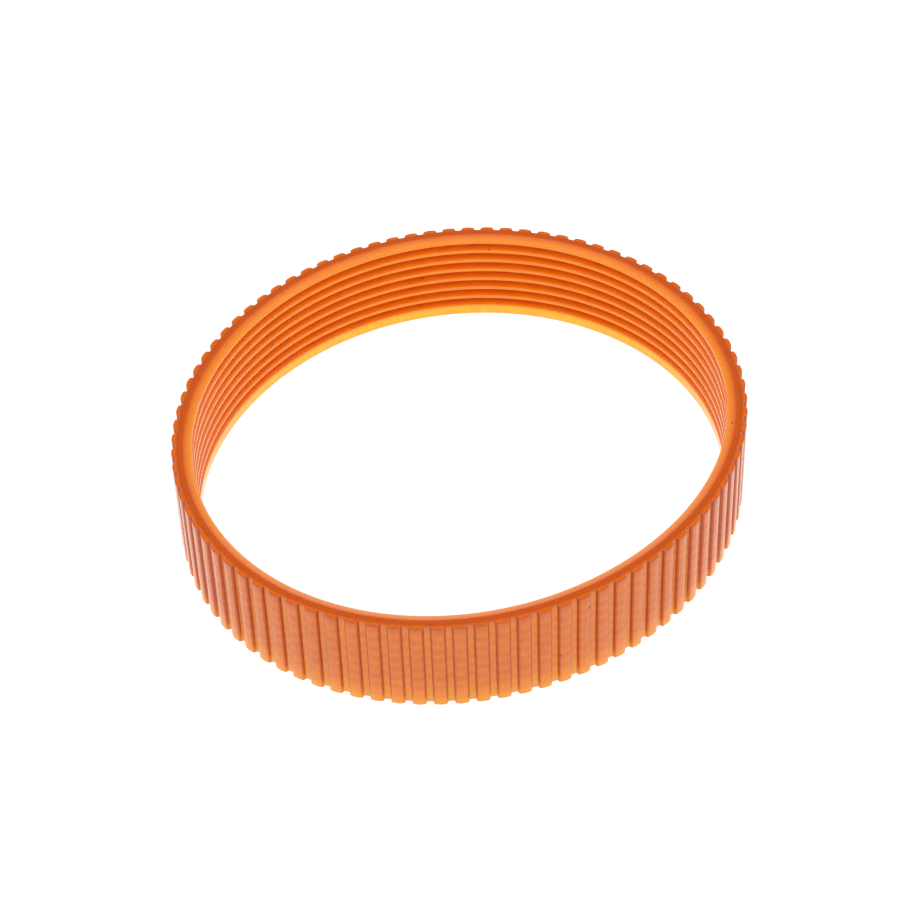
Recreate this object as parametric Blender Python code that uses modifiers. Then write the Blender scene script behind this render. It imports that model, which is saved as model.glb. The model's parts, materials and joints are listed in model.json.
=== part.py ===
"""Ribbed V-belt of cast polyurethane, as fitted between the motor and the cutter drum of a hand planer.

Units are metres and +Z is up. The belt lies on its side at rest, relaxed into a slightly oval loop.
The loop's axis is +Z, its long diameter is along X, and the lower side face is at z = 0.

Every piece is first made for a perfectly round loop, where its place is an angle, a depth below the
pad tops and a height. lay_in_loop() then bends it into the relaxed loop, keeping every length along
the belt and every depth through it.
"""

import math

import bmesh
import bpy
import numpy as np

# The loop
OUTER_LENGTH = 0.224            # once round, over the tops of the pads
WIDTH = 0.0135                  # between the two side faces
OVALITY = 0.0368                # the relaxed loop's twofold and threefold waves, as shares of its radius
THREEFOLD = 0.0040
THREEFOLD_TURN = math.radians(139.0)
LOOP_SAMPLES = 3600

# Through the belt, all measured inwards from the pad tops
GROOVE_DEPTH = 0.00053          # the cross grooves between the pads
BACKING_DEPTH = 0.00077         # underside of the toothed backing
JOINT_GAP = 0.00005             # left between pieces that are bonded on the real belt
CORD_BED_DEPTH = 0.00127        # floor of the bed that the cords lie in
RIB_ROOT_DEPTH = 0.00142        # bottoms of the grooves between the ribs
RIB_TIP_DEPTH = 0.00249

# Pads across the outer face, as shares of their spacing
PADS = 87
FIRST_NOTCH = 0.46              # place of the first cross groove, in pad spacings from +X
NOTCH_FLOOR = 0.29
NOTCH_MOUTH = 0.40
PAD_CORNER = 0.03
PAD_CORNER_DEPTH = 0.00006

# Ribs along the inner face
RIBS = 8
RIB_PITCH = 0.0016
RIB_TIP = 0.00045               # flat on each rib's tip
FLANK_ANGLE = math.radians(20)  # half of the 40 degree V
END_TIP = 0.00156               # flat on the lowest rib, which keeps the margin left by slitting

# Tension cords, one of each twist, wound side by side as a two-start helix
CORD_DIAMETER = 0.0003
CORD_DEPTH = 0.00097
CORD_TURNS = 6
CORD_MARGIN = 0.0007            # the bed stops this far from each side face
CORD_POINTS_PER_TURN = 36

RADIUS = OUTER_LENGTH / (2 * math.pi)
PAD_ANGLE = 2 * math.pi / PADS


def clear_scene():
    for thing in list(bpy.data.objects):
        bpy.data.objects.remove(thing, do_unlink=True)


def new_collection(name):
    collection = bpy.data.collections.new(name)
    bpy.context.scene.collection.children.link(collection)
    return collection


def principled(name, colour, roughness, transmission=0.0):
    """A Principled BSDF material with the piece's own colour and gloss."""
    material = bpy.data.materials.new(name)
    material.use_nodes = True
    material.diffuse_color = (*colour, 1.0)
    shader = material.node_tree.nodes["Principled BSDF"]
    shader.inputs["Base Color"].default_value = (*colour, 1.0)
    shader.inputs["Roughness"].default_value = roughness
    shader.inputs["Metallic"].default_value = 0.0
    shader.inputs["Transmission Weight"].default_value = transmission
    return material


def loop_table():
    """Distance along the pad tops, with the place and the outward normal there, once round the loop."""
    angle = np.linspace(0, 2 * math.pi, LOOP_SAMPLES + 1)
    reach = 1 + OVALITY * np.cos(2 * angle) + THREEFOLD * np.cos(3 * angle + THREEFOLD_TURN)
    place = np.stack([reach * np.cos(angle), reach * np.sin(angle)], axis=1)
    steps = np.linalg.norm(np.diff(place, axis=0), axis=1)
    place *= OUTER_LENGTH / steps.sum()
    along = np.concatenate([[0.0], np.cumsum(steps)]) * OUTER_LENGTH / steps.sum()
    place -= (place.max(axis=0) + place.min(axis=0)) / 2
    ahead = np.roll(place[:-1], -1, axis=0) - np.roll(place[:-1], 1, axis=0)
    ahead = np.concatenate([ahead, ahead[:1]])
    normal = np.stack([ahead[:, 1], -ahead[:, 0]], axis=1)
    normal /= np.linalg.norm(normal, axis=1)[:, None]
    return along, place, normal


def lay_in_loop(mesh, table):
    """Bends a piece made for the round loop into the relaxed one."""
    along, place, normal = table
    for vertex in mesh.vertices:
        x, y, _ = vertex.co
        distance = (math.atan2(y, x) % (2 * math.pi)) * RADIUS
        depth = RADIUS - math.hypot(x, y)
        for axis in (0, 1):
            centre = np.interp(distance, along, place[:, axis])
            outward = np.interp(distance, along, normal[:, axis])
            vertex.co[axis] = centre - depth * outward
    mesh.update()


def finished_mesh(source, name, table, material, collection):
    """The evaluated shape of a helper object as a mesh of its own, welded and laid in the loop."""
    bpy.context.view_layer.update()
    graph = bpy.context.evaluated_depsgraph_get()
    mesh = bpy.data.meshes.new_from_object(source.evaluated_get(graph))
    bpy.data.objects.remove(source, do_unlink=True)
    welder = bmesh.new()
    welder.from_mesh(mesh)
    bmesh.ops.remove_doubles(welder, verts=welder.verts, dist=0.000002)
    bmesh.ops.recalc_face_normals(welder, faces=welder.faces)
    welder.to_mesh(mesh)
    welder.free()
    lay_in_loop(mesh, table)
    mesh.shade_smooth()
    mesh.set_sharp_from_angle(angle=math.radians(30))
    mesh.materials.clear()
    mesh.materials.append(material)
    piece = bpy.data.objects.new(name, mesh)
    collection.objects.link(piece)
    return piece


def toothed_outline():
    """The backing's outer edge in the round loop: a flat-topped pad and a sloping-sided groove, repeated."""
    points = []
    for pad in range(PADS):
        start = (pad + FIRST_NOTCH) * PAD_ANGLE
        corners = [
            (-NOTCH_FLOOR / 2, GROOVE_DEPTH),
            (NOTCH_FLOOR / 2, GROOVE_DEPTH),
            (NOTCH_MOUTH / 2, PAD_CORNER_DEPTH),
            (NOTCH_MOUTH / 2 + PAD_CORNER, 0.0),
            (0.5, 0.0),
            (1 - NOTCH_MOUTH / 2 - PAD_CORNER, 0.0),
            (1 - NOTCH_MOUTH / 2, PAD_CORNER_DEPTH),
        ]
        for share, depth in corners:
            angle = start + share * PAD_ANGLE
            points.append(((RADIUS - depth) * math.cos(angle), (RADIUS - depth) * math.sin(angle)))
    return points


def plain_outline(depth):
    """A many-sided ring at one depth, with a corner under each cross groove."""
    angles = [(pad + FIRST_NOTCH) * PAD_ANGLE for pad in range(PADS)]
    return [((RADIUS - depth) * math.cos(a), (RADIUS - depth) * math.sin(a)) for a in angles]


def add_spline(curve, points):
    """A closed spline of straight lines through (x, y) points."""
    spline = curve.splines.new("POLY")
    spline.points.add(len(points) - 1)
    for corner, (x, y) in zip(spline.points, points):
        corner.co = (x, y, 0.0, 1.0)
    spline.use_cyclic_u = True


def make_toothed_backing(table, collection):
    """The outer layer: a thin band with raised pads, the same section from one side face to the other."""
    curve = bpy.data.curves.new("backing_outline", "CURVE")
    curve.dimensions = "2D"
    curve.fill_mode = "BOTH"
    curve.extrude = WIDTH / 2
    add_spline(curve, toothed_outline())
    add_spline(curve, plain_outline(BACKING_DEPTH))
    band = bpy.data.objects.new("backing_outline", curve)
    bpy.context.scene.collection.objects.link(band)
    material = principled("backing_polyurethane", (0.74, 0.24, 0.06), 0.35, 0.2)
    backing = finished_mesh(band, "toothed_backing", table, material, collection)
    for vertex in backing.data.vertices:
        vertex.co.z += WIDTH / 2
    return backing


def rib_profile():
    """The ribbed layer's section as (depth, height) points: down its outer side, then up over the ribs."""
    outer = BACKING_DEPTH + JOINT_GAP
    points = [
        (outer, WIDTH),
        (outer, WIDTH - CORD_MARGIN),
        (CORD_BED_DEPTH, WIDTH - CORD_MARGIN),
        (CORD_BED_DEPTH, CORD_MARGIN),
        (outer, CORD_MARGIN),
        (outer, 0.0),
        (RIB_ROOT_DEPTH, 0.0),
    ]
    flank = (RIB_TIP_DEPTH - RIB_ROOT_DEPTH) * math.tan(FLANK_ANGLE)
    top_of_first_tip = WIDTH - flank
    for rib in reversed(range(RIBS)):
        upper = top_of_first_tip - rib * RIB_PITCH
        lower = upper - RIB_TIP
        if rib == RIBS - 1:
            lower = upper - END_TIP
        else:
            points.append((RIB_ROOT_DEPTH, lower - flank))
        points.append((RIB_TIP_DEPTH, lower))
        points.append((RIB_TIP_DEPTH, upper))
        points.append((RIB_ROOT_DEPTH, upper + flank))
    return points


def make_ribbed_layer(table, collection):
    """The inner layer: eight V ribs inside, and outside the shallow bed for the cords."""
    corners = [(RADIUS - depth, 0.0, height) for depth, height in rib_profile()]
    sides = [(i, (i + 1) % len(corners)) for i in range(len(corners))]
    section = bpy.data.meshes.new("rib_section")
    section.from_pydata(corners, sides, [])
    ring = bpy.data.objects.new("rib_section", section)
    ring.rotation_euler.z = FIRST_NOTCH * PAD_ANGLE
    bpy.context.scene.collection.objects.link(ring)
    screw = ring.modifiers.new("turn", "SCREW")
    screw.steps = PADS
    screw.render_steps = PADS
    screw.use_merge_vertices = True
    screw.merge_threshold = 0.00001
    material = principled("rib_polyurethane", (0.68, 0.13, 0.02), 0.3, 0.2)
    return finished_mesh(ring, "ribbed_layer", table, material, collection)


def make_cord(name, start_turn, tone, table, collection):
    """One tension cord, wound round and round from the lower edge of its bed to the upper edge."""
    lowest = CORD_MARGIN + CORD_DIAMETER
    lead = (WIDTH - 2 * lowest) / CORD_TURNS
    curve = bpy.data.curves.new(name + "_path", "CURVE")
    curve.dimensions = "3D"
    curve.bevel_depth = CORD_DIAMETER / 2
    curve.bevel_resolution = 1
    curve.use_fill_caps = True
    spline = curve.splines.new("POLY")
    steps = CORD_TURNS * CORD_POINTS_PER_TURN
    spline.points.add(steps)
    reach = RADIUS - CORD_DEPTH
    for step, point in enumerate(spline.points):
        turn = start_turn + step / CORD_POINTS_PER_TURN
        angle = 2 * math.pi * turn
        height = lowest + lead * step / CORD_POINTS_PER_TURN
        point.co = (reach * math.cos(angle), reach * math.sin(angle), height, 1.0)
    cord = bpy.data.objects.new(name + "_path", curve)
    bpy.context.scene.collection.objects.link(cord)
    material = principled(name + "_polyester", tone, 0.6)
    return finished_mesh(cord, name, table, material, collection)


def main():
    clear_scene()
    belt = new_collection("ribbed_v_belt")
    table = loop_table()
    make_toothed_backing(table, belt)
    make_ribbed_layer(table, belt)
    make_cord("tension_cord_s", 0.0, (0.80, 0.72, 0.58), table, belt)
    make_cord("tension_cord_z", 0.5, (0.76, 0.66, 0.50), table, belt)


main()
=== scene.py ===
"""Looks of a ribbed V-belt: amber polyurethane cast round two twisted cords.

The belt lies on one side face. Each piece is modelled on a round loop, by angle, depth below the pad
tops and height, and bend() lays it in the CAD's relaxed, slightly oval loop. Lengths are in metres.

The amber's colour follows a painted value, "glow", which paints in the light and shade of the translucent
amber:
a painted glow by its thin edges and lower side face, and painted shade in the grooves and between the
ribs.
A second painted value, "red", darkens the pads and the hollows between the ribs as painted shade. Both
depend on depth and height alone and so are the same all the way round the loop.
"""

import json
import math

import bpy
import numpy as np
from mathutils import Matrix, Vector

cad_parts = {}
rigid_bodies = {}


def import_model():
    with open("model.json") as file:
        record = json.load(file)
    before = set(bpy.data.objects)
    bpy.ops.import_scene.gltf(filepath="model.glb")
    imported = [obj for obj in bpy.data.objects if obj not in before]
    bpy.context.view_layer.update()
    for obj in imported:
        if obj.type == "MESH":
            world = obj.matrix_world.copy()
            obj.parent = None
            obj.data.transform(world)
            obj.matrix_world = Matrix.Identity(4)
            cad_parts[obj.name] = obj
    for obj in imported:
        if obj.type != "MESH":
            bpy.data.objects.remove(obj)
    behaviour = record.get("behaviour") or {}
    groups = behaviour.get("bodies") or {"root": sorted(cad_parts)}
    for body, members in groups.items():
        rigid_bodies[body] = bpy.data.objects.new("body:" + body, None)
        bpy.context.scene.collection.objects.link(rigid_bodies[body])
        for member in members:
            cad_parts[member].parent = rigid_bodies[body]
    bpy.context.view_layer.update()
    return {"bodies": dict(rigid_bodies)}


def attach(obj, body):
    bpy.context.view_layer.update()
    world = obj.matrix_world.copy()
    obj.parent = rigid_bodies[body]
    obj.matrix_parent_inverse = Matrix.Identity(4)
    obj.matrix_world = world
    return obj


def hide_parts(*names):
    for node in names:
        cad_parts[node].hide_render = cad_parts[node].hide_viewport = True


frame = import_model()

# The loop, as in the CAD
OUTER_LENGTH = 0.224
WIDTH = 0.0135
OVALITY = 0.0368
THREEFOLD = 0.0040
THREEFOLD_TURN = math.radians(139.0)
LOOP_SAMPLES = 3600
RADIUS = OUTER_LENGTH / (2 * math.pi)

# Depths below the pad tops
GROOVE_DEPTH = 0.00053
BACKING_DEPTH = 0.00077
BOND_GAP = 0.00001
RIB_ROOT_DEPTH = 0.00142
RIB_TIP_DEPTH = 0.00249

# Pads, as shares of their spacing
PADS = 87
FIRST_NOTCH = 0.46
NOTCH_FLOOR = 0.29
NOTCH_MOUTH = 0.40
PAD_CROWN = 0.00010             # how far a pad's top falls away towards its edges
PAD_CROWN_RADIUS = 0.004
PAD_CORNER_RADIUS = 0.00030
NOTCH_CORNER_RADIUS = 0.00014
PAD_EDGE = 0.00007              # rounding between the pads and the side faces
SIDE_SHARES = (0.25, 0.5, 1.0)  # rows of points on a side face, from its rounded edge to the bond

# Ribs
RIBS = 8
RIB_PITCH = 0.0016
RIB_TIP = 0.00045
FLANK_ANGLE = math.radians(20)
END_TIP = 0.00156               # the lowest rib's tip is wider
RIB_ROOT_RADIUS = 0.00012
RIB_TIP_RADIUS = 0.00010
SIDE_EDGE_RADIUS = 0.00005
RIB_ROWS_PER_PAD = 6

# Cords
CORD_DIAMETER = 0.0003
CORD_DEPTH = 0.00097
CORD_TURNS = 6
CORD_MARGIN = 0.0007
YARN_PITCH = 0.0022
RINGS_PER_YARN_PITCH = 7
YARN_LOBE = 0.14                # how deep the valleys between the three yarns are, as a share

# Where the paint changes
SIDE_REACH = 0.00003            # points this close to a side face are on it
END_RIB_TOP = 0.0021
FLANK_HEIGHT = 0.00041          # the upper flank of the top rib
WALL_FADE_START = 0.00012       # the painted shade on the groove walls fades out by the upper side face
WALL_FADE = 0.00030
RIB_SIDE_START = 0.0001         # the painted shade between the ribs starts this far below their tips
RIB_SIDE_FADE = 0.0003

# Glow, the light and shade painted into the amber's colour: 0 is the dark red of a long way through the
# amber, 1 is the yellow of light through a thin edge
# painted glow on the groove floors, where the backing is thin
GROOVE_GLOW = 0.12
# painted shade on the groove walls
WALL_PAINTED_SHADE = -0.30
# the backing's painted glow by height: lightest by the lower side face, which rests on the bright floor,
# and dark at the upper edge
BACKING_GLOW_BY_HEIGHT = (
    (0.0, 0.78), (0.0010, 0.64), (0.0025, 0.48), (0.0045, 0.40),
    (0.0125, 0.40), (0.01315, 0.36), (0.01338, 0.02),
)
# painted light and shade on the side faces by depth: lighter by the pads, painted shade beside the cords
SIDE_GLOW_BY_DEPTH = (
    (0.0, 0.30), (0.00009, 0.30), (0.00024, 0.45), (0.00036, 0.45), (0.00055, 0.33), (0.00080, 0.27),
    (0.00100, 0.27), (0.00108, 0.34), (0.00116, 0.27), (0.00130, 0.24), (0.00142, 0.32),
)
# painted glow on the ribs, lighter towards their tips, and on the top rib's upper flank
RIB_GLOW_BY_DEPTH = ((0.00142, 0.54), (0.00185, 0.54), (0.00215, 0.61), (0.00249, 0.65))
FLANK_GLOW_BY_DEPTH = ((0.00142, 0.36), (0.00190, 0.56), (0.00230, 0.74), (0.00249, 0.72))
# painted glow of the wide lowest rib, by the floor
END_GLOW_BY_HEIGHT = ((0.0, 0.62), (0.00020, 0.92), (0.00150, 1.0), (0.0021, 0.50))
LEAST_PAD_GLOW = 0.05
MOST_PAD_GLOW = 0.80
BAND_GLOW = 0.03                # faint painted light and shade in bands on the pads, one for each rib showing through behind them
# painted shade between the ribs
RIB_PAINTED_SHADE = 0.08

# Share of the red that is kept, as painted shade on the pads and between the ribs, and the clear gloss
# coat
PAINTED_SHADE_RED_ON_PADS = 0.84
PAINTED_SHADE_RED_BETWEEN_RIBS = 0.93
GLOSS = 0.15
SIDE_GLOSS = 0.05

SHARP_CORNER = math.radians(50)

# Camera and light
CAMERA_TURN = math.radians(-42.24)
TENT_LIGHT = 1.1
# Dimmer patches: bearing clockwise from behind the belt, elevation, inner and outer reach, all in
# degrees, and the change in light
TENT_PATCHES = (
    (0, 48, 12, 32, -0.85),
    (90, 15, 15, 60, -0.15),
    (-90, 15, 15, 60, -0.15),
)
FLOOR_LIGHT = 1.05
FLOOR_SIZE = 4.0
FLOOR_HEIGHT = -0.00005
CAMERA_ELEVATION = math.radians(45.06)
CAMERA_ROLL = math.radians(2.15)
CAMERA_DISTANCE = 10.263        # this and the aim point are in loop radii
CAMERA_AIM = (0.0007, 0.0759, 0.0757)
CAMERA_LENS = 112.23


# ---------------------------------------------------------------- shapes

def loop_table():
    """Distance along the pad tops, with the place and the outward normal there, once round the loop."""
    angle = np.linspace(0, 2 * math.pi, LOOP_SAMPLES + 1)
    reach = 1 + OVALITY * np.cos(2 * angle) + THREEFOLD * np.cos(3 * angle + THREEFOLD_TURN)
    place = np.stack([reach * np.cos(angle), reach * np.sin(angle)], axis=1)
    steps = np.linalg.norm(np.diff(place, axis=0), axis=1)
    place *= OUTER_LENGTH / steps.sum()
    along = np.concatenate([[0.0], np.cumsum(steps)]) * OUTER_LENGTH / steps.sum()
    place -= (place.max(axis=0) + place.min(axis=0)) / 2
    ahead = np.roll(place[:-1], -1, axis=0) - np.roll(place[:-1], 1, axis=0)
    ahead = np.concatenate([ahead, ahead[:1]])
    normal = np.stack([ahead[:, 1], -ahead[:, 0]], axis=1)
    normal /= np.linalg.norm(normal, axis=1)[:, None]
    return along, place, normal


LOOP = loop_table()


def bend(angle, depth, height):
    """World places of points given on the round loop; the three arrays have one shape."""
    along, place, normal = LOOP
    distance = (angle % (2 * math.pi)) * RADIUS
    flat = [
        np.interp(distance, along, place[:, axis]) - depth * np.interp(distance, along, normal[:, axis])
        for axis in (0, 1)
    ]
    return np.stack([*flat, height], axis=-1)


def rounded(corners, radii, steps=4, closed=True):
    """The outline through (x, y) corners with each corner replaced by an arc of its own radius."""
    points = []
    last = len(corners) - 1
    for i, (corner, radius) in enumerate(zip(corners, radii)):
        corner = np.array(corner)
        if radius == 0 or (not closed and i in (0, last)):
            points.append(corner)
            continue
        before = np.array(corners[i - 1]) - corner
        after = np.array(corners[(i + 1) % len(corners)]) - corner
        before_room = np.linalg.norm(before)
        after_room = np.linalg.norm(after)
        before /= before_room
        after /= after_room
        half = math.acos(max(-1.0, min(1.0, float(before @ after)))) / 2
        cut = min(radius / math.tan(half), 0.45 * before_room, 0.45 * after_room)
        for step in range(steps + 1):
            t = step / steps
            bow = (1 - t) ** 2 * (corner + cut * before) + 2 * t * (1 - t) * corner
            points.append(bow + t ** 2 * (corner + cut * after))
    return np.array(points)


def filled_in(points, longest, closed=True):
    """The same outline with its long stretches divided."""
    out = []
    count = len(points) if closed else len(points) - 1
    for i in range(count):
        start, end = points[i], points[(i + 1) % len(points)]
        parts = max(1, math.ceil(np.linalg.norm(end - start) / longest))
        out.extend(start + (end - start) * k / parts for k in range(parts))
    if not closed:
        out.append(points[-1])
    return np.array(out)


def grid_mesh(name, angle, depth, height, paint):
    """A closed ring from a grid of points: first index round the loop, second round the section."""
    rows, columns = depth.shape
    places = bend(angle, depth, height).reshape(-1, 3)
    index = np.arange(rows * columns).reshape(rows, columns)
    ahead = np.roll(index, -1, axis=0)
    faces = np.stack([index, ahead, np.roll(ahead, -1, axis=1), np.roll(index, -1, axis=1)], axis=-1)
    faces = faces.reshape(-1, 4)
    a, b, c = (places[faces[:, k]] for k in (0, 1, 2))
    if np.einsum("ij,ij->i", a, np.cross(b, c)).sum() < 0:
        faces = faces[:, ::-1]
    mesh = bpy.data.meshes.new(name)
    mesh.from_pydata(places.tolist(), [], faces.tolist())
    mesh.shade_smooth()
    mesh.set_sharp_from_angle(angle=SHARP_CORNER)
    for key, values in paint.items():
        layer = mesh.attributes.new(key, "FLOAT", "POINT")
        layer.data.foreach_set("value", np.ascontiguousarray(values, np.float32).reshape(-1))
    mesh.update()
    piece = bpy.data.objects.new(name, mesh)
    bpy.context.scene.collection.objects.link(piece)
    flat_first = piece.modifiers.new("flat_faces_first", "WEIGHTED_NORMAL")
    flat_first.keep_sharp = True
    return piece


def tooth_outline():
    """One pad and one groove as (share of the spacing, depth), with rounded corners."""
    spacing = OUTER_LENGTH / PADS
    floor = NOTCH_FLOOR / 2 * spacing
    mouth = NOTCH_MOUTH / 2 * spacing
    corners = [
        (-0.5 * spacing, 0.0),
        (-0.5 * mouth - 0.25 * spacing, PAD_CROWN / 4),
        (-mouth, PAD_CROWN),
        (-floor, GROOVE_DEPTH),
        (floor, GROOVE_DEPTH),
        (mouth, PAD_CROWN),
        (0.5 * mouth + 0.25 * spacing, PAD_CROWN / 4),
        (0.5 * spacing, 0.0),
    ]
    half = [0, PAD_CROWN_RADIUS, PAD_CORNER_RADIUS, NOTCH_CORNER_RADIUS]
    outline = rounded(corners, half + half[::-1], steps=4, closed=False)
    points = filled_in(outline, 0.00016, closed=False)[:-1]
    return points[:, 0] / spacing, points[:, 1]


def side_painted_light(depth):
    """The painted light and shade on a side face: lighter by the pads, and painted shade beside the
    cords.
    """
    return np.interp(depth, *zip(*SIDE_GLOW_BY_DEPTH))


def backing_painted_light(depth, height, notch):
    """Painted light and shade for the backing: a painted glow, lightest by the lower side face, and
    painted shade, darkest on the groove walls.
    """
    glow = np.interp(height, *zip(*BACKING_GLOW_BY_HEIGHT))
    sunk = np.clip(notch / GROOVE_DEPTH, 0, 1)
    # painted shade on the groove walls, fading out by the upper side face
    walls = WALL_PAINTED_SHADE * 4 * sunk * (1 - sunk) * (sunk > 0.15)
    walls = walls * np.clip((WIDTH - WALL_FADE_START - height) / WALL_FADE, 0, 1)
    glow = glow + GROOVE_GLOW * sunk ** 4 + walls
    on_side = (height < SIDE_REACH) | (height > WIDTH - SIDE_REACH)
    bands = BAND_GLOW * np.cos(2 * math.pi * (height - WIDTH) / RIB_PITCH)
    glow = np.clip(glow + bands, LEAST_PAD_GLOW, MOST_PAD_GLOW)
    return {
        "glow": np.where(on_side, side_painted_light(depth), glow),
        "red": np.where(on_side, 1.0, PAINTED_SHADE_RED_ON_PADS),
        "gloss": np.where(on_side, SIDE_GLOSS, GLOSS),
    }


def make_backing():
    """Outer layer: the tooth outline repeated round the loop, its section rounded at both side faces."""
    share, depth = tooth_outline()
    turn = 2 * math.pi / PADS
    starts = (np.arange(PADS) + FIRST_NOTCH) * turn
    angle = (starts[:, None] + share[None, :] * turn).reshape(-1)
    depth = np.tile(depth, PADS)
    sweep = np.linspace(0, math.pi / 2, 5)
    low = [(PAD_EDGE * (1 - math.sin(t)), PAD_EDGE * (1 - math.cos(t))) for t in sweep]
    across = np.linspace(PAD_EDGE, WIDTH - PAD_EDGE, 53)[1:-1]
    outer = low + [(0.0, z) for z in across] + [(d, WIDTH - z) for d, z in reversed(low)]
    columns = len(outer) + 2 * len(SIDE_SHARES)
    depths = np.zeros((len(angle), columns))
    heights = np.zeros((len(angle), columns))
    for k, (inset, z) in enumerate(outer):
        depths[:, k] = depth + inset
        heights[:, k] = z
    sides = [(share_in, WIDTH) for share_in in SIDE_SHARES]
    sides += [(share_in, 0.0) for share_in in SIDE_SHARES[::-1]]
    for k, (share_in, z) in enumerate(sides):
        column = len(outer) + k
        depths[:, column] = (depth + PAD_EDGE) * (1 - share_in) + BACKING_DEPTH * share_in
        heights[:, column] = z
    angles = np.repeat(angle[:, None], columns, axis=1)
    paint = backing_painted_light(depths, heights, depth[:, None])
    return grid_mesh("toothed_backing_cast", angles, depths, heights, paint)


def rib_section():
    """The ribbed layer's section as (depth, height): down its outer side, then up over the ribs."""
    outer = BACKING_DEPTH + BOND_GAP
    corners = [(outer, WIDTH), (outer, 0.0), (RIB_ROOT_DEPTH, 0.0)]
    radii = [0.0, 0.0, SIDE_EDGE_RADIUS]
    flank = (RIB_TIP_DEPTH - RIB_ROOT_DEPTH) * math.tan(FLANK_ANGLE)
    for rib in reversed(range(RIBS)):
        upper = WIDTH - flank - rib * RIB_PITCH
        lower = upper - (END_TIP if rib == RIBS - 1 else RIB_TIP)
        if rib < RIBS - 1:
            corners.append((RIB_ROOT_DEPTH, lower - flank))
            radii.append(RIB_ROOT_RADIUS)
        corners += [(RIB_TIP_DEPTH, lower), (RIB_TIP_DEPTH, upper), (RIB_ROOT_DEPTH, upper + flank)]
        radii += [RIB_TIP_RADIUS, RIB_TIP_RADIUS, RIB_ROOT_RADIUS if rib else SIDE_EDGE_RADIUS]
    return filled_in(rounded(corners, radii), 0.0003)


def rib_painted_light(depth, height):
    """Painted light and shade for the ribs: a painted glow, lighter at their tips and lightest on the
    wide end rib, and painted shade between them.
    """
    glow = np.interp(depth, *zip(*RIB_GLOW_BY_DEPTH))
    end = np.interp(height, *zip(*END_GLOW_BY_HEIGHT))
    glow = np.where(height < END_RIB_TOP, np.maximum(glow, end), glow)
    top = np.interp(depth, *zip(*FLANK_GLOW_BY_DEPTH))
    on_top = (height > WIDTH - FLANK_HEIGHT) & (depth > RIB_ROOT_DEPTH)
    glow = np.where(on_top, top, glow)
    on_side = (height < SIDE_REACH) | (height > WIDTH - SIDE_REACH)
    on_side &= depth < RIB_ROOT_DEPTH + SIDE_REACH
    # painted shade between the ribs, deepest towards their roots
    low = np.clip((RIB_TIP_DEPTH - RIB_SIDE_START - depth) / RIB_SIDE_FADE, 0, 1)
    low = low * (height > END_RIB_TOP) * ~on_top
    return {
        "glow": np.where(on_side, side_painted_light(depth), glow - RIB_PAINTED_SHADE * low),
        "red": np.where(on_side, 1.0, 1 - (1 - PAINTED_SHADE_RED_BETWEEN_RIBS) * low),
        "gloss": np.where(on_side, SIDE_GLOSS, np.where(on_top, 0.0, GLOSS)),
    }


def make_ribs():
    """Inner layer: the rib section carried round the loop."""
    section = rib_section()
    rows = PADS * RIB_ROWS_PER_PAD
    angle = np.linspace(0, 2 * math.pi, rows, endpoint=False)
    depth = np.repeat(section[None, :, 0], rows, axis=0)
    height = np.repeat(section[None, :, 1], rows, axis=0)
    angles = np.repeat(angle[:, None], len(section), axis=1)
    return grid_mesh("ribbed_layer_cast", angles, depth, height, rib_painted_light(depth, height))


def make_cord(name, start_turn, twist):
    """A three-yarn tension cord: a lobed section that turns as it runs along its helix."""
    lowest = CORD_MARGIN + CORD_DIAMETER
    lead = (WIDTH - 2 * lowest) / CORD_TURNS
    rings = int(CORD_TURNS * OUTER_LENGTH / YARN_PITCH * RINGS_PER_YARN_PITCH)
    turn = start_turn + np.linspace(0, CORD_TURNS, rings)
    height = lowest + lead * (turn - start_turn)
    around = np.linspace(0, 2 * math.pi, 9, endpoint=False)
    spin = twist * 2 * math.pi * (turn - start_turn) * OUTER_LENGTH / YARN_PITCH
    lobe = 1 - YARN_LOBE + YARN_LOBE * np.cos(3 * around)
    direction = around[None, :] + spin[:, None]
    depth = CORD_DEPTH + CORD_DIAMETER / 2 * lobe * np.cos(direction)
    heights = height[:, None] + CORD_DIAMETER / 2 * lobe * np.sin(direction)
    angles = np.repeat(2 * math.pi * turn[:, None], len(around), axis=1)
    places = bend(angles, depth, heights).reshape(-1, 3)
    index = np.arange(rings * len(around)).reshape(rings, len(around))
    beside = np.roll(index, -1, axis=1)
    faces = np.stack([index[:-1], index[1:], beside[1:], beside[:-1]], axis=-1).reshape(-1, 4)
    mesh = bpy.data.meshes.new(name)
    caps = [index[0][::-1].tolist(), index[-1].tolist()]
    mesh.from_pydata(places.tolist(), [], faces[:, ::-1].tolist() + caps)
    mesh.shade_smooth()
    piece = bpy.data.objects.new(name, mesh)
    bpy.context.scene.collection.objects.link(piece)
    return piece


# ---------------------------------------------------------------- materials

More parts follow.
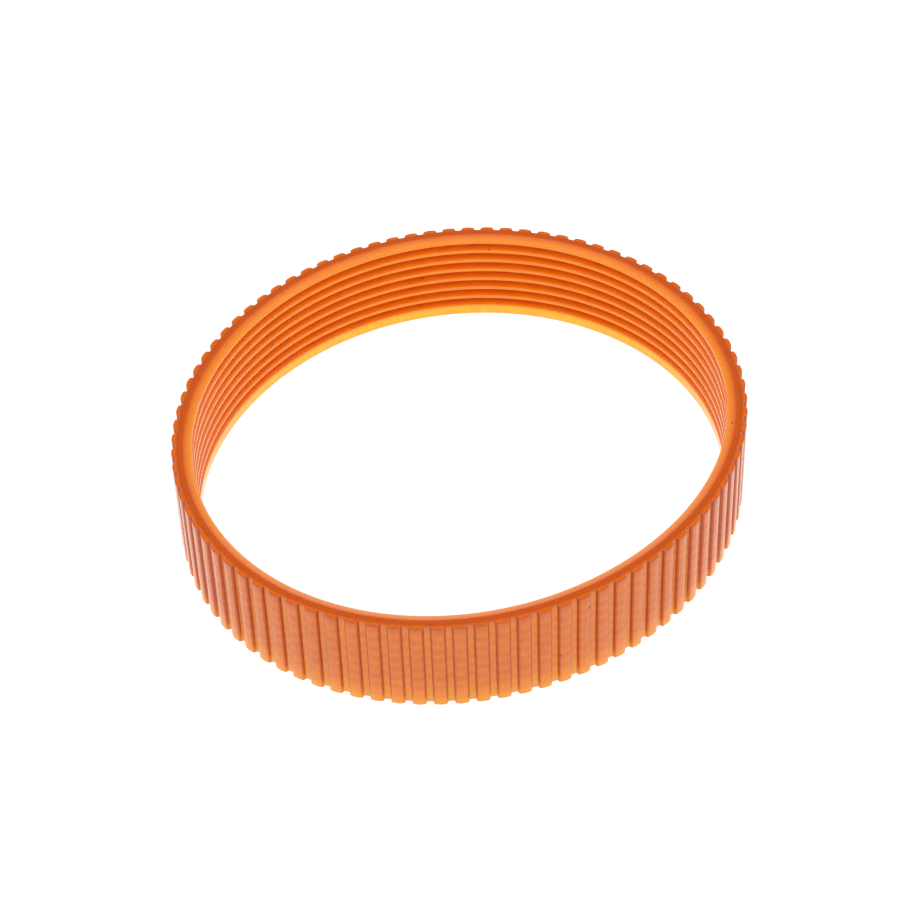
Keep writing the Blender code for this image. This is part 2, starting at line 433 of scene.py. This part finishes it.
class Nodes:
    """A short way to add and join a material's nodes."""

    def __init__(self, name):
        self.material = bpy.data.materials.new(name)
        self.material.use_nodes = True
        self.tree = self.material.node_tree
        self.shader = self.tree.nodes["Principled BSDF"]

    def add(self, kind, inputs=None, **settings):
        node = self.tree.nodes.new(kind)
        for key, value in settings.items():
            setattr(node, key, value)
        for key, value in (inputs or {}).items():
            self.put(node, key, value)
        return node

    def put(self, node, key, value):
        socket = node.inputs[key]
        if isinstance(value, bpy.types.NodeSocket):
            self.tree.links.new(value, socket)
        else:
            socket.default_value = value

    def math(self, operation, first, second=0.0, third=0.0):
        inputs = {0: first, 1: second, 2: third}
        return self.add("ShaderNodeMath", inputs, operation=operation).outputs[0]

    def noise(self, place, scale, detail):
        inputs = {"Vector": place, "Scale": scale, "Detail": detail}
        return self.add("ShaderNodeTexNoise", inputs).outputs["Fac"]

    def painted(self, name):
        return self.add("ShaderNodeAttribute", attribute_name=name).outputs["Fac"]

    def mix(self, factor, first, second, blend="MIX"):
        node = self.add("ShaderNodeMix", data_type="RGBA", blend_type=blend)
        for key, value in ((0, factor), (6, first), (7, second)):
            self.put(node, key, value)
        return node.outputs[2]

    def ramp(self, factor, stops):
        node = self.add("ShaderNodeValToRGB", {0: factor})
        elements = node.color_ramp.elements
        while len(elements) < len(stops):
            elements.new(0.5)
        for element, (place, colour) in zip(elements, stops):
            element.position = place
            element.color = (*colour, 1.0)
        return node.outputs[0]


AMBER = (
    (0.0, (0.50, 0.070, 0.006)),
    (0.30, (0.70, 0.105, 0.004)),
    (0.55, (0.95, 0.215, 0.006)),
    (0.80, (1.0, 0.340, 0.006)),
    (1.0, (1.0, 0.560, 0.008)),
)


def amber(name, milky, reach, roughness):
    """Amber polyurethane, its colour following the painted light and shade in "glow" and "red", mottled
    and streaked a little by the casting, with a few dark specks.
    """
    n = Nodes(name)
    place = n.add("ShaderNodeTexCoord").outputs["Object"]
    # the painted light and shade of the translucent amber, from the "glow" attribute
    glow = n.painted("glow")
    mottle = n.noise(place, 420.0, 3.0)
    glow = n.math("ADD", glow, n.math("MULTIPLY_ADD", mottle, 0.12, -0.06))
    drawn = n.add("ShaderNodeMapping", {"Vector": place, "Scale": (1.0, 1.0, 0.12)}).outputs[0]
    streaks = n.noise(drawn, 3200.0, 2.0)
    glow = n.math("ADD", glow, n.math("MULTIPLY_ADD", streaks, 0.14, -0.07))
    # painted shade: the share of red kept, lower on the pads and between the ribs
    red = n.painted("red")
    tint = n.add("ShaderNodeCombineColor", {0: red, 1: 1.0, 2: 1.0}).outputs[0]
    colour = n.mix(1.0, n.ramp(glow, AMBER), tint, blend="MULTIPLY")
    cells = n.add("ShaderNodeTexVoronoi", {"Vector": place, "Scale": 300.0, "Randomness": 1.0})
    chance = n.add("ShaderNodeSeparateColor", {0: cells.outputs["Color"]}).outputs[0]
    size = n.math("MULTIPLY_ADD", chance, 0.22, -0.13)
    speck = n.add("ShaderNodeMapRange", {"Value": n.math("SUBTRACT", cells.outputs["Distance"], size)})
    n.put(speck, "From Min", -0.012)
    n.put(speck, "From Max", 0.012)
    n.put(speck, "To Min", 0.85)
    n.put(speck, "To Max", 0.0)
    colour = n.mix(speck.outputs["Result"], colour, (0.24, 0.024, 0.0, 1.0))
    n.put(n.shader, "Base Color", colour)
    grain = n.noise(place, 2600.0, 2.0)
    n.put(n.shader, "Roughness", n.math("MULTIPLY_ADD", grain, 0.12, roughness - 0.06))
    bump = n.add("ShaderNodeBump", {"Height": grain, "Strength": 0.05, "Distance": 0.00001})
    n.put(n.shader, "Normal", bump.outputs[0])
    n.put(n.shader, "IOR", 1.48)
    n.put(n.shader, "Coat Weight", n.painted("gloss"))
    n.put(n.shader, "Coat Roughness", roughness)
    n.put(n.shader, "Subsurface Weight", milky)
    n.put(n.shader, "Subsurface Radius", (1.0, 0.4, 0.1))
    n.put(n.shader, "Subsurface Scale", reach)
    return n.material


def yarn(name, colour):
    """Polyester cord: fine filaments, a little darker in between, over the modelled twist."""
    n = Nodes(name)
    place = n.add("ShaderNodeTexCoord").outputs["Object"]
    strands = n.noise(place, 14000.0, 3.0)
    patches = n.noise(place, 900.0, 2.0)
    dark = tuple(0.55 * part for part in colour)
    tone = n.mix(n.math("MULTIPLY_ADD", patches, 0.3, -0.15), (*colour, 1.0), (*dark, 1.0))
    n.put(n.shader, "Base Color", n.mix(n.math("MULTIPLY", strands, 0.7), tone, (*dark, 1.0)))
    n.put(n.shader, "Roughness", n.math("MULTIPLY_ADD", strands, 0.2, 0.45))
    bump = n.add("ShaderNodeBump", {"Height": strands, "Strength": 0.4, "Distance": 0.00001})
    n.put(n.shader, "Normal", bump.outputs[0])
    return n.material


def dress(piece, material, body, slot, *nodes):
    """Gives a piece its material and its place in the frame."""
    piece.data.materials.append(material)
    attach(piece, body)
    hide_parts(*nodes)


# ---------------------------------------------------------------- stage

def add_floor():
    """A glowing white floor."""
    bpy.ops.mesh.primitive_plane_add(size=FLOOR_SIZE, location=(0, 0, FLOOR_HEIGHT))
    floor = bpy.context.object
    floor.name = "floor"
    n = Nodes("pale_floor")
    n.put(n.shader, "Base Color", (0.1, 0.1, 0.1, 1.0))
    n.put(n.shader, "Roughness", 0.9)
    n.put(n.shader, "Specular IOR Level", 0.0)
    n.put(n.shader, "Emission Color", (1.0, 1.0, 1.0, 1.0))
    n.put(n.shader, "Emission Strength", FLOOR_LIGHT)
    floor.data.materials.append(n.material)


def add_lights():
    """A white light tent, dimmer in a patch that the upper side face mirrors and at both sides."""
    world = bpy.data.worlds.new("light_tent")
    world.use_nodes = True
    tree = world.node_tree
    way = tree.nodes.new("ShaderNodeTexCoord").outputs["Generated"]
    light = tree.nodes.new("ShaderNodeValue").outputs[0]
    light.default_value = TENT_LIGHT
    for bearing, elevation, narrow, wide, change in TENT_PATCHES:
        lean = tree.nodes.new("ShaderNodeVectorMath")
        lean.operation = "DOT_PRODUCT"
        heading = math.pi / 2 + CAMERA_TURN - math.radians(bearing)
        rise = math.radians(elevation)
        out = math.cos(rise)
        lean.inputs[1].default_value = (out * math.cos(heading), out * math.sin(heading), math.sin(rise))
        tree.links.new(way, lean.inputs[0])
        patch = tree.nodes.new("ShaderNodeMapRange")
        patch.interpolation_type = "SMOOTHSTEP"
        narrow, wide = (math.cos(math.radians(reach)) for reach in (narrow, wide))
        for key, value in (("From Min", wide), ("From Max", narrow), ("To Max", change)):
            patch.inputs[key].default_value = value
        tree.links.new(lean.outputs["Value"], patch.inputs["Value"])
        total = tree.nodes.new("ShaderNodeMath")
        total.operation = "ADD"
        tree.links.new(light, total.inputs[0])
        tree.links.new(patch.outputs["Result"], total.inputs[1])
        light = total.outputs[0]
    background = tree.nodes["Background"]
    background.inputs["Color"].default_value = (1, 1, 1, 1)
    tree.links.new(light, background.inputs["Strength"])
    bpy.context.scene.world = world


def add_camera():
    """A long lens, looking down at the belt from about 45 degrees."""
    aim = Vector(CAMERA_AIM) * RADIUS
    back = Vector((0, -math.cos(CAMERA_ELEVATION), math.sin(CAMERA_ELEVATION)))
    right = Vector((1, 0, 0))
    up = back.cross(right)
    across = math.cos(CAMERA_ROLL) * right - math.sin(CAMERA_ROLL) * up
    upward = math.sin(CAMERA_ROLL) * right + math.cos(CAMERA_ROLL) * up
    place = aim + CAMERA_DISTANCE * RADIUS * back
    camera = bpy.data.objects.new("camera", bpy.data.cameras.new("camera"))
    camera.data.lens = CAMERA_LENS
    camera.data.sensor_width = 36.0
    axes = Matrix((across, upward, back)).transposed().to_4x4()
    camera.matrix_world = Matrix.Rotation(CAMERA_TURN, 4, "Z") @ Matrix.Translation(place) @ axes
    bpy.context.scene.collection.objects.link(camera)
    bpy.context.scene.camera = camera


def main():
    root = next(iter(frame["bodies"]))
    amber_backing = amber("amber_backing", 0.3, 0.0003, 0.12)
    amber_ribs = amber("amber_ribs", 0.25, 0.0008, 0.12)
    polyester = yarn("polyester_yarn", (0.80, 0.70, 0.50))
    dress(make_backing(), amber_backing, root, "backing_polyurethane", "toothed_backing")
    dress(make_ribs(), amber_ribs, root, "rib_polyurethane", "ribbed_layer")
    dress(make_cord("tension_cord_s_yarns", 0.0, 1), polyester, root, "cord_polyester", "tension_cord_s")
    dress(make_cord("tension_cord_z_yarns", 0.5, -1), polyester, root, "cord_polyester", "tension_cord_z")
    add_floor()
    add_lights()
    add_camera()
    bpy.context.scene.view_settings.view_transform = "Standard"


main()
